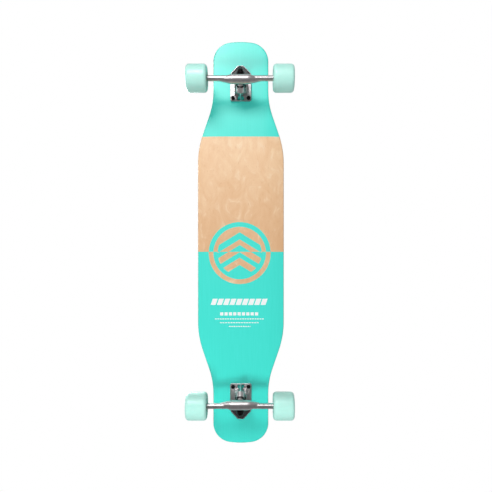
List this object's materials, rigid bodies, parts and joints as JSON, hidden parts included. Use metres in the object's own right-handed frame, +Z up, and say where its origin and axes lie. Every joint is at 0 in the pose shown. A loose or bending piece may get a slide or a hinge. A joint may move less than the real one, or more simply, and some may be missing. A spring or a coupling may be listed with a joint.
{
  "type": "longboard skateboard",
  "caption": "Cutaway longboard with a maple laminate deck, sprung reverse-kingpin steering trucks and soft wheels that turn on ball bearings.",
  "frame": {"origin": "on the ground under the middle of the deck, where the tyres touch", "axes": "+X along the board to the nose, +Y along the axles to the rider's left, +Z up"},
  "size_m": [1.07, 0.272, 0.1224],
  "materials": {
    "painted_veneer": "satin lacquer, mint ends and a bare maple band",
    "maple": "satin",
    "grip": "coarse abrasive",
    "cast_aluminium": "polished casting",
    "axle_steel": "bright",
    "black_steel": "black oxide, semi gloss",
    "bushing_urethane": "satin",
    "cup_urethane": "matt",
    "wheel_urethane": "soft satin",
    "hub_nylon": "moulded",
    "bearing_steel": "ground",
    "cage_nylon": "moulded",
    "bearing_shield": "black seal"
  },
  "bodies": {
    "board": {"deck_bottom_veneer": "painted_veneer", "deck_core_ply_1": "maple", "deck_core_ply_2": "maple", "deck_core_ply_3": "maple", "deck_core_ply_4": "maple", "deck_core_ply_5": "maple", "deck_top_veneer": "maple", "grip_tape": "grip", "mounting_bolts": "black_steel", "mounting_nuts": "black_steel", "kingpins": "black_steel", "kingpin_nuts": "black_steel", "pivot_cups": "cup_urethane", "front_baseplate": "cast_aluminium", "front_boardside_bushing": "bushing_urethane", "front_roadside_bushing": "bushing_urethane", "front_boardside_washer": "black_steel", "front_roadside_washer": "black_steel", "rear_baseplate": "cast_aluminium", "rear_boardside_bushing": "bushing_urethane", "rear_roadside_bushing": "bushing_urethane", "rear_boardside_washer": "black_steel", "rear_roadside_washer": "black_steel"},
    "front_hanger_body": {"front_hanger": "cast_aluminium", "front_axle": "axle_steel", "front_bearing_inner_races": "bearing_steel", "front_bearing_spacers": "axle_steel", "front_speed_washers": "axle_steel", "front_axle_nuts": "axle_steel"},
    "front_left_wheel": {"front_left_wheel_tyre": "wheel_urethane", "front_left_wheel_core": "hub_nylon", "front_left_bearing_outer_races": "bearing_steel", "front_left_bearing_shields": "bearing_shield", "front_left_bearing_balls": "bearing_steel", "front_left_bearing_cages": "cage_nylon"},
    "front_right_wheel": {"front_right_wheel_tyre": "wheel_urethane", "front_right_wheel_core": "hub_nylon", "front_right_bearing_outer_races": "bearing_steel", "front_right_bearing_shields": "bearing_shield", "front_right_bearing_balls": "bearing_steel", "front_right_bearing_cages": "cage_nylon"},
    "rear_hanger_body": {"rear_hanger": "cast_aluminium", "rear_axle": "axle_steel", "rear_bearing_inner_races": "bearing_steel", "rear_bearing_spacers": "axle_steel", "rear_speed_washers": "axle_steel", "rear_axle_nuts": "axle_steel"},
    "rear_left_wheel": {"rear_left_wheel_tyre": "wheel_urethane", "rear_left_wheel_core": "hub_nylon", "rear_left_bearing_outer_races": "bearing_steel", "rear_left_bearing_shields": "bearing_shield", "rear_left_bearing_balls": "bearing_steel", "rear_left_bearing_cages": "cage_nylon"},
    "rear_right_wheel": {"rear_right_wheel_tyre": "wheel_urethane", "rear_right_wheel_core": "hub_nylon", "rear_right_bearing_outer_races": "bearing_steel", "rear_right_bearing_shields": "bearing_shield", "rear_right_bearing_balls": "bearing_steel", "rear_right_bearing_cages": "cage_nylon"}
  },
  "joints": [
    {"name": "front_steer", "type": "hinge", "parent": "board", "child": "front_hanger_body", "pos_m": [0.424, 0, 0.074], "axis": [0.8186, 0, 0.5743], "range_deg": [-15, 15], "stiffness_Nm_per_rad": 120, "deforming": ["front_boardside_bushing", "front_roadside_bushing"]},
    {"name": "rear_steer", "type": "hinge", "parent": "board", "child": "rear_hanger_body", "pos_m": [-0.424, 0, 0.074], "axis": [-0.8186, 0, 0.5743], "range_deg": [-15, 15], "stiffness_Nm_per_rad": 120, "deforming": ["rear_boardside_bushing", "rear_roadside_bushing"]},
    {"name": "front_left_roll", "type": "hinge", "parent": "front_hanger_body", "child": "front_left_wheel", "pos_m": [0.413, 0.1035, 0.035], "axis": [0, 1, 0], "continuous": true},
    {"name": "front_right_roll", "type": "hinge", "parent": "front_hanger_body", "child": "front_right_wheel", "pos_m": [0.413, -0.1035, 0.035], "axis": [0, 1, 0], "continuous": true},
    {"name": "rear_left_roll", "type": "hinge", "parent": "rear_hanger_body", "child": "rear_left_wheel", "pos_m": [-0.413, 0.1035, 0.035], "axis": [0, 1, 0], "continuous": true},
    {"name": "rear_right_roll", "type": "hinge", "parent": "rear_hanger_body", "child": "rear_right_wheel", "pos_m": [-0.413, -0.1035, 0.035], "axis": [0, 1, 0], "continuous": true}
  ]
}
